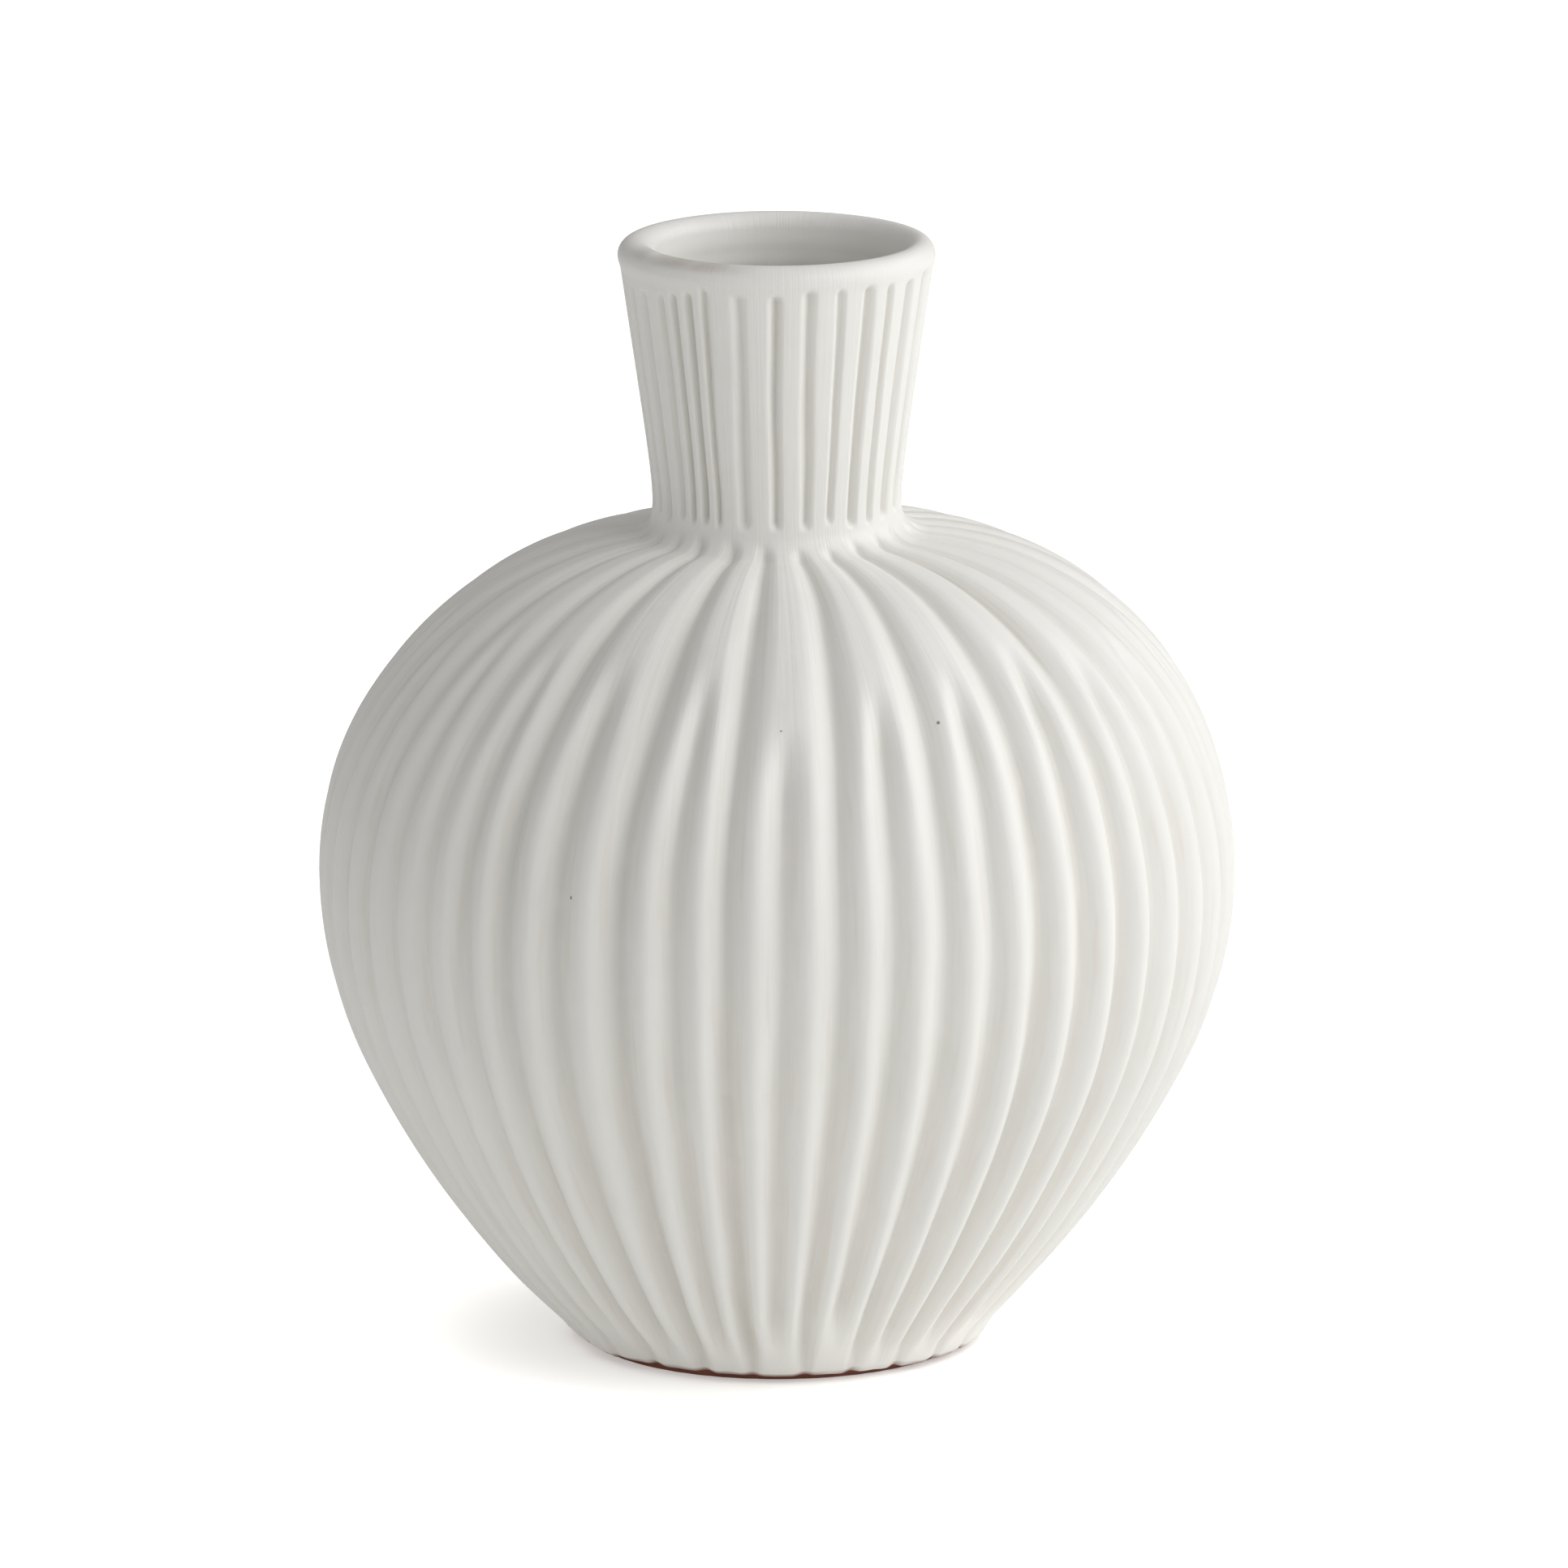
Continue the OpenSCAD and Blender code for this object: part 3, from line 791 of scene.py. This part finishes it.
def bulb_marks():
    """Long flutes from the neck to the foot, and a shorter one on each ridge between them."""
    chance = random.Random(BULB_SEED)
    marks = []
    for k in range(2 * LONG_FLUTES):
        stray = chance.uniform(-PITCH_CHANCE, PITCH_CHANCE)
        bearing = FIRST_FLUTE + (k + stray) * TURN / (2 * LONG_FLUTES)
        from_front = (bearing + TURN / 2) % TURN - TURN / 2
        if from_front < WIDE_RIDGE_AT:
            bearing -= WIDE_RIDGE_MORE * smooth(*WIDE_RIDGE_ABSORBED, from_front)
        dip = math.exp(-((math.degrees(bearing) - SHORT_DIP_AT) / SHORT_DIP_WIDTH) ** 2)
        start_z = SHORT_START_Z - SHORT_START_DIP * dip
        start_z += chance.uniform(-SHORT_START_CHANCE, SHORT_START_CHANCE)
        left = smooth(*LEFT_BEGINS, from_front) * smooth(*LEFT_ENDS, from_front)
        depth = chance.uniform(*DEPTH_CHANCE) * (1 - (1 - LEFT_DEPTH_SHARE) * left)
        end = BULB_LENGTH + chance.uniform(*LONG_PAST_BULB)
        if k % 2 == 0:
            marks.append(mark(bearing, depth=depth, until=end, runout=LONG_RUNOUT))
        else:
            marks.append(mark(bearing, depth=depth, until=length_at(start_z), runout=SHORT_RUNOUT,
                              reach=SHARED_REACH, since=chance.uniform(*SHORT_END)))
    return marks


def neck_marks():
    """Flutes of the neck, unevenly spaced and stopped a little short of the lip on the left."""
    chance = random.Random(NECK_SEED)
    front = list(FRONT_NECK_FLUTES)
    rest = NECK_FLUTES - len(front)
    gap = (360 + front[0] - front[-1]) / (rest + 1)
    degrees = front + [
        front[-1] + gap * (k + 1) + chance.uniform(-NECK_BEARING_CHANCE, NECK_BEARING_CHANCE)
        for k in range(rest)]
    marks = []
    for bearing in degrees:
        end = NECK_FLUTE_END_Z - NECK_LEFT_SHORTER * smooth(*NECK_LEFT, bearing)
        end += chance.uniform(-NECK_END_CHANCE, NECK_END_CHANCE)
        marks.append(mark(
            math.radians(bearing), depth=chance.uniform(*NECK_DEPTH_CHANCE), until=end,
            runout=NECK_RUNOUT, since=BAND_TOP_Z + chance.uniform(0, NECK_START_CHANCE),
            reach=chance.uniform(*NECK_REACH_CHANCE)))
    return marks


def mark_object(name, marks):
    """Tool marks as points round a unit circle, for the fluting to look up."""
    return point_mesh(name, marks, MARK_VALUES,
                      lambda m: (math.sin(m["bearing"]), -math.cos(m["bearing"]), 0))


# ---------------------------------------------------------------- finishes

WHITE = (0.88, 0.872, 0.84)
# Flute bottoms: pooled glaze, darkened further as painted shade
POOLED_AND_SHADED_WHITE = (0.735, 0.72, 0.67)
# Painted shade for the lining deep down the mouth
LINING_SHADE_WHITE = (0.66, 0.645, 0.60)
BLUSH_WHITE = (0.87, 0.845, 0.81)
WARM_WHITE = (0.80, 0.74, 0.68)
# Thin glaze showing the clay, also used as painted shade on the lip
THIN_GLAZE_AND_SHADE = (0.50, 0.44, 0.39)
PINHOLE_BROWN = (0.20, 0.15, 0.11)
TERRACOTTA = (0.30, 0.115, 0.07)
DEEP_TERRACOTTA = (0.14, 0.05, 0.032)

# How strongly each colour shows where it shows most
POOL_AND_SHADE_SHARE = 0.75
BLUSH_SHARE = 0.35
FLANK_SHARE = 0.4
BROKEN_SHARE = 0.3
THIN_SHADE_PATCH_SHARE = 0.6
PINHOLE_SHARE = 0.8

# Where each one comes in: by the groove, 0 on a ridge and 1 in a flute's bottom, or by a noise
FLANK_BEGINS = (0.12, 0.35)
FLANK_ENDS = (0.5, 0.85)
BOTTOM_BEGINS = (0.86, 1.0)
FLANK_NOISE = (0.45, 0.7)
BROKEN_NOISE = (0.62, 0.70)
PATCH_NOISE = (0.2, 0.6)
BLUSH_NOISE = (0.52, 0.72)
BLUSH_FINER = 1.7
BLUSH_SEED = 7.0
# A patch on the lip's front left: thin glaze, and painted shade on the side away from the light
THIN_SHADE_PATCH = Vector((-12.5 * MM, -14.5 * MM, 151.5 * MM))
THIN_SHADE_PATCH_R = 13 * MM
THIN_SHADE_PATCH_CORE = 0.35

# Sizes of the clouds and grains, and how far each one lifts or lowers the skin
CLOUD_SIZE = 11 * MM
GRAIN_SIZE = 0.8 * MM
SWELL_SIZE = 5 * MM
FINE_GROG = 0.35 * MM
COARSE_GROG = 3 * MM
GRAIN_RELIEF = 0.12
SWELL_RELIEF = 0.9
PINHOLE_RELIEF = 1.2
BUMP_STRENGTH = 0.8
GLAZE_BUMP = 0.13 * MM
CLAY_BUMP = 0.12 * MM

# Roughness of the satin glaze and of the clay, and what changes it
SATIN_ROUGH = 0.46
GRAIN_ROUGH_CHANGE = 0.08
BARE_ROUGHER = 0.42
PINHOLE_ROUGHER = 0.2
CLAY_ROUGH = 0.8
CLAY_ROUGH_CHANGE = 0.15

# Places of the colour sockets on a Mix node
MIX_FACTOR, MIX_FIRST, MIX_SECOND, MIX_RESULT = 0, 6, 7, 2


def shader_group(name, inputs, outputs):
    """A new shader node group: its tree, inputs, place on the piece and output node."""
    tree = bpy.data.node_groups.new(name, "ShaderNodeTree")
    given, made = add_sockets(tree, inputs, outputs)
    size = {socket.name: Flow(tree, socket) for socket in given.outputs if socket.name}
    place = put(tree, "ShaderNodeTexCoord", {}).outputs["Object"]
    return tree, size, place, made


def cloud_group():
    """Soft clouds in a fired glaze: a shade round 1, and a warm blush."""
    tree, size, place, made = shader_group(
        "glaze_clouds", (("Size", "NodeSocketFloat", CLOUD_SIZE), ("Amount", "NodeSocketFloat", 0.02)),
        (("Shade", "NodeSocketFloat"), ("Blush", "NodeSocketFloat")))
    scale = calculate(tree, "DIVIDE", 1.0, size["Size"])
    cloud = put(tree, "ShaderNodeTexNoise", {"Vector": place, "Scale": scale, "Detail": 3.0})
    shade = (Flow(tree, cloud.outputs[0]) - 0.5) * 2.0 * size["Amount"] + 1.0
    blush = put(tree, "ShaderNodeTexNoise", {
        "Vector": place, "Scale": scale * BLUSH_FINER, "Detail": 2.0, "W": BLUSH_SEED},
        noise_dimensions="4D")
    blush = ramp(tree, Flow(tree, blush.outputs[0]), *BLUSH_NOISE)
    tree.links.new(shade.socket, made.inputs["Shade"])
    tree.links.new(blush.socket, made.inputs["Blush"])
    return tree


def pinhole_group():
    """Rare pinholes where gas broke through the glaze: 1 in a hole, 0 elsewhere."""
    tree, size, place, made = shader_group(
        "pinholes", (("Spacing", "NodeSocketFloat", 7 * MM),
                     ("Radius", "NodeSocketFloat", 0.3 * MM), ("Share", "NodeSocketFloat", 0.12)),
        (("Hole", "NodeSocketFloat"),))
    scale = calculate(tree, "DIVIDE", 1.0, size["Spacing"])
    cells = put(tree, "ShaderNodeTexVoronoi", {"Vector": place, "Scale": scale})
    distance = Flow(tree, cells.outputs["Distance"]) * size["Spacing"]
    drawn = put(tree, "ShaderNodeSeparateColor", {"Color": cells.outputs["Color"]}).outputs[0]
    chosen = Flow(tree, drawn).math("LESS_THAN", size["Share"])
    hole = ramp(tree, distance, size["Radius"] * 0.5, size["Radius"], 1.0, 0.0) * chosen
    tree.links.new(hole.socket, made.inputs["Hole"])
    return tree


def grain_group():
    """Grain of a clay or glaze skin, as a height between 0 and 1."""
    tree, size, place, made = shader_group(
        "clay_grain", (("Size", "NodeSocketFloat", GRAIN_SIZE), ("Detail", "NodeSocketFloat", 3.0)),
        (("Height", "NodeSocketFloat"),))
    scale = calculate(tree, "DIVIDE", 1.0, size["Size"])
    grain = put(tree, "ShaderNodeTexNoise",
                {"Vector": place, "Scale": scale, "Detail": size["Detail"]})
    tree.links.new(grain.outputs[0], made.inputs["Height"])
    return tree


def streak_group():
    """Fine marks that run down the wall with the flutes, as a height between 0 and 1."""
    tree, size, place, made = shader_group(
        "wall_streaks",
        (("Count", "NodeSocketFloat", 60.0), ("Length", "NodeSocketFloat", 14 * MM)),
        (("Height", "NodeSocketFloat"),))
    parts = put(tree, "ShaderNodeSeparateXYZ", {"Vector": place}).outputs
    flat = put(tree, "ShaderNodeCombineXYZ", {"X": parts[0], "Y": parts[1]}).outputs[0]
    around = put(tree, "ShaderNodeVectorMath", {0: flat}, operation="NORMALIZE").outputs[0]
    around = put(tree, "ShaderNodeSeparateXYZ", {"Vector": around}).outputs
    drawn = put(tree, "ShaderNodeCombineXYZ", {
        "X": Flow(tree, around[0]) * size["Count"], "Y": Flow(tree, around[1]) * size["Count"],
        "Z": Flow(tree, parts[2]) / size["Length"]}).outputs[0]
    streak = put(tree, "ShaderNodeTexNoise", {"Vector": drawn, "Scale": 1.0, "Detail": 2.0})
    tree.links.new(streak.outputs[0], made.inputs["Height"])
    return tree


def new_material(name):
    """A new material, its tree and its shader."""
    material = bpy.data.materials.new(name)
    material.use_nodes = True
    tree = material.node_tree
    return material, tree, tree.nodes["Principled BSDF"]


def use(tree, group, **sizes):
    """Places a shader group in a material, with the values that the material gives it."""
    return put(tree, "ShaderNodeGroup", sizes, node_tree=group)


def blend(tree, factor, first, second, kind="MIX"):
    """Mixes two colours; a colour may be a socket or three numbers."""
    first, second = [(*c, 1) if isinstance(c, tuple) else c for c in (first, second)]
    made = put(tree, "ShaderNodeMix", {MIX_FIRST: first, MIX_SECOND: second, MIX_FACTOR: factor},
               data_type="RGBA", blend_type=kind)
    return made.outputs[MIX_RESULT]


def told(tree, name):
    """A value that the throwing left on the surface."""
    made = put(tree, "ShaderNodeAttribute", {}, attribute_name=name, attribute_type="GEOMETRY")
    return Flow(tree, made.outputs["Fac"])


def add_bump(tree, shader, relief, distance):
    """Shows a relief as unevenness of the skin, where 1 stands about as high as the distance."""
    bump = put(tree, "ShaderNodeBump",
               {"Height": relief, "Strength": BUMP_STRENGTH, "Distance": distance})
    tree.links.new(bump.outputs[0], shader.inputs["Normal"])


def glaze(name, groups, shaded_deep_white, cloud_amount, streak_amount):
    """Satin white glaze: clouded, darker in the flutes from pooled glaze and painted shade, thin over
    edges, with painted shade on the lip and down the mouth, and rare pinholes.
    """
    material, tree, shader = new_material(name)
    clouds = use(tree, groups["clouds"], Size=CLOUD_SIZE, Amount=cloud_amount)
    hole = Flow(tree, use(tree, groups["pinholes"]).outputs["Hole"])
    grain = Flow(tree, use(tree, groups["grain"], Size=GRAIN_SIZE).outputs["Height"])
    swell = Flow(tree, use(tree, groups["grain"], Size=SWELL_SIZE, Detail=1.0).outputs["Height"])
    streaks = Flow(tree, use(tree, groups["streaks"]).outputs["Height"])
    long_streaks = use(tree, groups["streaks"], Count=9.0, Length=45 * MM)
    long_streaks = Flow(tree, long_streaks.outputs["Height"])
    groove = told(tree, "groove")
    bare = told(tree, "bare")

    # Darker in the flutes: partly pooled glaze, partly painted shade in the hollows
    colour = blend(tree, groove * groove * POOL_AND_SHADE_SHARE, WHITE, POOLED_AND_SHADED_WHITE)
    # Painted shade: the lining darkens deeper down the mouth
    colour = blend(tree, told(tree, "deep"), colour, shaded_deep_white)
    blush = Flow(tree, clouds.outputs["Blush"]) * BLUSH_SHARE
    colour = blend(tree, blush, colour, BLUSH_WHITE)
    shade = clouds.outputs["Shade"]
    grey = put(tree, "ShaderNodeCombineColor", {0: shade, 1: shade, 2: shade}).outputs[0]
    colour = blend(tree, 1.0, colour, grey, "MULTIPLY")

    # Glaze runs thin: warm on flute flanks, fine lines in a few flute bottoms, and a patch on the
    # lip's front left that is thin glaze and painted shade on the side away from the light
    flank = ramp(tree, groove, *FLANK_BEGINS) * ramp(tree, groove, *FLANK_ENDS, 1.0, 0.0)
    flank = flank * ramp(tree, streaks, *FLANK_NOISE) * FLANK_SHARE
    colour = blend(tree, flank, colour, WARM_WHITE)
    broken = ramp(tree, groove, *BOTTOM_BEGINS) * ramp(tree, long_streaks, *BROKEN_NOISE)
    broken = broken * BROKEN_SHARE
    place = put(tree, "ShaderNodeTexCoord", {}).outputs["Object"]
    far = put(tree, "ShaderNodeVectorMath", {0: place, 1: tuple(THIN_SHADE_PATCH)}, operation="DISTANCE")
    near = ramp(tree, Flow(tree, far.outputs["Value"]), THIN_SHADE_PATCH_CORE * THIN_SHADE_PATCH_R,
                THIN_SHADE_PATCH_R, 1.0, 0.0)
    patch = near * told(tree, "thin") * ramp(tree, swell, *PATCH_NOISE) * THIN_SHADE_PATCH_SHARE
    colour = blend(tree, broken.math("MAXIMUM", patch), colour, THIN_GLAZE_AND_SHADE)
    colour = blend(tree, hole * PINHOLE_SHARE, colour, PINHOLE_BROWN)
    clay = blend(tree, grain, DEEP_TERRACOTTA, TERRACOTTA)
    colour = blend(tree, bare, colour, clay)
    tree.links.new(colour, shader.inputs["Base Color"])

    rough = (grain - 0.5) * GRAIN_ROUGH_CHANGE + SATIN_ROUGH
    rough = rough + bare * BARE_ROUGHER + hole * PINHOLE_ROUGHER
    tree.links.new(rough.socket, shader.inputs["Roughness"])
    relief = grain * GRAIN_RELIEF + swell * SWELL_RELIEF + streaks * streak_amount
    relief = relief - hole * PINHOLE_RELIEF + grain * bare
    add_bump(tree, shader, relief, GLAZE_BUMP)
    return material


def bare_clay(groups):
    """Dry red clay with grog in it."""
    material, tree, shader = new_material("bare_red_clay")
    fine = Flow(tree, use(tree, groups["grain"], Size=FINE_GROG, Detail=4.0).outputs["Height"])
    coarse = Flow(tree, use(tree, groups["grain"], Size=COARSE_GROG).outputs["Height"])
    tone = fine * 0.6 + coarse * 0.6 - 0.1
    colour = blend(tree, tone, DEEP_TERRACOTTA, TERRACOTTA)
    tree.links.new(colour, shader.inputs["Base Color"])
    rough = fine * CLAY_ROUGH_CHANGE + CLAY_ROUGH
    tree.links.new(rough.socket, shader.inputs["Roughness"])
    add_bump(tree, shader, fine * 0.7 + coarse * 0.3, CLAY_BUMP)
    return material


# ---------------------------------------------------------------- the vase

def make_vase():
    """Every piece, thrown in place, on its body and in its finish."""
    groups = {"clouds": cloud_group(), "pinholes": pinhole_group(), "grain": grain_group(),
              "streaks": streak_group()}
    white = glaze("satin_white_glaze", groups, shaded_deep_white=WHITE, cloud_amount=0.02,
                  streak_amount=0.6)
    lining = glaze("lining_white_glaze", groups, shaded_deep_white=LINING_SHADE_WHITE, cloud_amount=0.03,
                   streak_amount=0.1)
    clay = bare_clay(groups)
    tree = throwing_tree()
    round_bulb = mark_object("bulb_tool_marks", bulb_marks())
    round_neck = mark_object("neck_tool_marks", neck_marks())
    tool = {"Tool half width": NECK_FLUTE_HALF_WIDTH}
    wavy = {"Glaze edge wave": GLAZE_EDGE_WAVE, "Glaze run": GLAZE_RUN,
            "Set-in length": SHORT_END_LENGTH}
    plan = (
        ("fluted_bulb", bulb_profile(), round_bulb, white, BULB_COLUMNS, wavy,
         ("bulb_wall", "bulb_glaze"), "white_glaze"),
        ("slip_joint_band", band_profile(), round_bulb, white, BULB_COLUMNS, {},
         ("slip_band",), "white_glaze"),
        ("fluted_neck", neck_profile(), round_neck, white, NECK_COLUMNS, tool,
         ("neck_wall", "neck_glaze"), "white_glaze"),
        ("rolled_lip", lip_profile(), round_neck, white, NECK_COLUMNS, tool,
         ("lip_roll", "lip_glaze"), "white_glaze"),
        ("inner_lining", lining_profile(), round_bulb, lining, INSIDE_COLUMNS, {},
         ("lining_glaze",), "lining_glaze"),
        ("clay_foot", foot_profile(), round_bulb, clay, BULB_COLUMNS, {},
         ("foot_ring",), "bare_clay"),
        ("clay_floor", floor_profile(), round_bulb, clay, INSIDE_COLUMNS, {},
         ("floor_slab",), "bare_clay"),
    )
    for name, profile, marks, material, columns, sizes, nodes, slot in plan:
        piece = throw(name, tree, profile, marks, material, columns, **sizes)
        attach(piece, BODY)
        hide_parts(*nodes)
    for marks in (round_bulb, round_neck):
        bpy.data.objects.remove(marks)


# ---------------------------------------------------------------- the studio

def make_floor():
    """A plain pale table that glows a little, as a lit sweep does, with a painted contact shadow where
    the camera sees it.
    """
    mesh = bpy.data.meshes.new("pale_floor")
    corners = [(x * FLOOR_HALF, y * FLOOR_HALF, 0) for x, y in ((-1, -1), (1, -1), (1, 1), (-1, 1))]
    mesh.from_pydata(corners, [], [(0, 1, 2, 3)])
    made = bpy.data.objects.new("pale_floor", mesh)
    bpy.context.scene.collection.objects.link(made)
    material, tree, shader = new_material("pale_floor")
    shader.inputs["Base Color"].default_value = FLOOR_COLOUR
    shader.inputs["Roughness"].default_value = FLOOR_ROUGH
    shader.inputs["Emission Color"].default_value = GLOW_COLOUR
    seen = Flow(tree, put(tree, "ShaderNodeLightPath", {}).outputs["Is Camera Ray"])
    # Ambient occlusion lowers the camera's glow near the vase: a painted contact shadow
    air = put(tree, "ShaderNodeAmbientOcclusion", {"Distance": SHADOW_REACH},
              samples=SHADOW_SAMPLES).outputs["AO"]
    lift = ramp(tree, Flow(tree, air), *SHADOW_TO_OPEN, SHADOW_LIFT, BACKDROP_LIFT)
    glow = seen * lift + FLOOR_GLOW
    tree.links.new(glow.socket, shader.inputs["Emission Strength"])
    mesh.materials.append(material)


def make_light(name, bearing, up, power):
    """A soft box that faces the vase, at a bearing from the front and an angle above the table."""
    light = bpy.data.lights.new(name, "AREA")
    light.shape = "SQUARE"
    light.size = SOFT_BOX_SIZE
    light.energy = power
    made = bpy.data.objects.new(name, light)
    bpy.context.scene.collection.objects.link(made)
    turned = math.radians(bearing)
    raised = math.radians(up)
    away = Vector((math.sin(turned) * math.cos(raised), -math.cos(turned) * math.cos(raised),
                   math.sin(raised)))
    made.location = AIM + away * SOFT_BOX_FAR
    made.rotation_euler = (-away).to_track_quat("-Z", "Y").to_euler()


def make_air():
    """Even light from all round, and a white backdrop for the camera."""
    world = bpy.data.worlds.new("studio_air")
    world.use_nodes = True
    tree = world.node_tree
    tree.nodes.clear()
    even = put(tree, "ShaderNodeBackground", {"Color": AIR_COLOUR, "Strength": AIR_LIGHT})
    white = put(tree, "ShaderNodeBackground", {"Color": BACKDROP_COLOUR, "Strength": 1.0})
    ray = put(tree, "ShaderNodeLightPath", {}).outputs["Is Camera Ray"]
    both = put(tree, "ShaderNodeMixShader", {0: ray, 1: even.outputs[0], 2: white.outputs[0]})
    put(tree, "ShaderNodeOutputWorld", {"Surface": both.outputs[0]})
    bpy.context.scene.world = world


def make_camera():
    """A long lens, a little above the vase."""
    lens = bpy.data.cameras.new("camera")
    lens.lens = LENS_MM
    lens.sensor_width = SENSOR_MM
    lens.clip_end = CLIP_END
    made = bpy.data.objects.new("camera", lens)
    bpy.context.scene.collection.objects.link(made)
    back = Vector((0, -math.cos(CAMERA_UP), math.sin(CAMERA_UP)))
    made.location = AIM + back * CAMERA_FAR
    made.rotation_euler = (-back).to_track_quat("-Z", "Y").to_euler()
    bpy.context.scene.camera = made


make_vase()
make_floor()
for light_name, (bearing, up, power) in SOFT_BOXES.items():
    make_light(light_name, bearing, up, power)
make_air()
make_camera()
bpy.context.scene.view_settings.view_transform = "Standard"
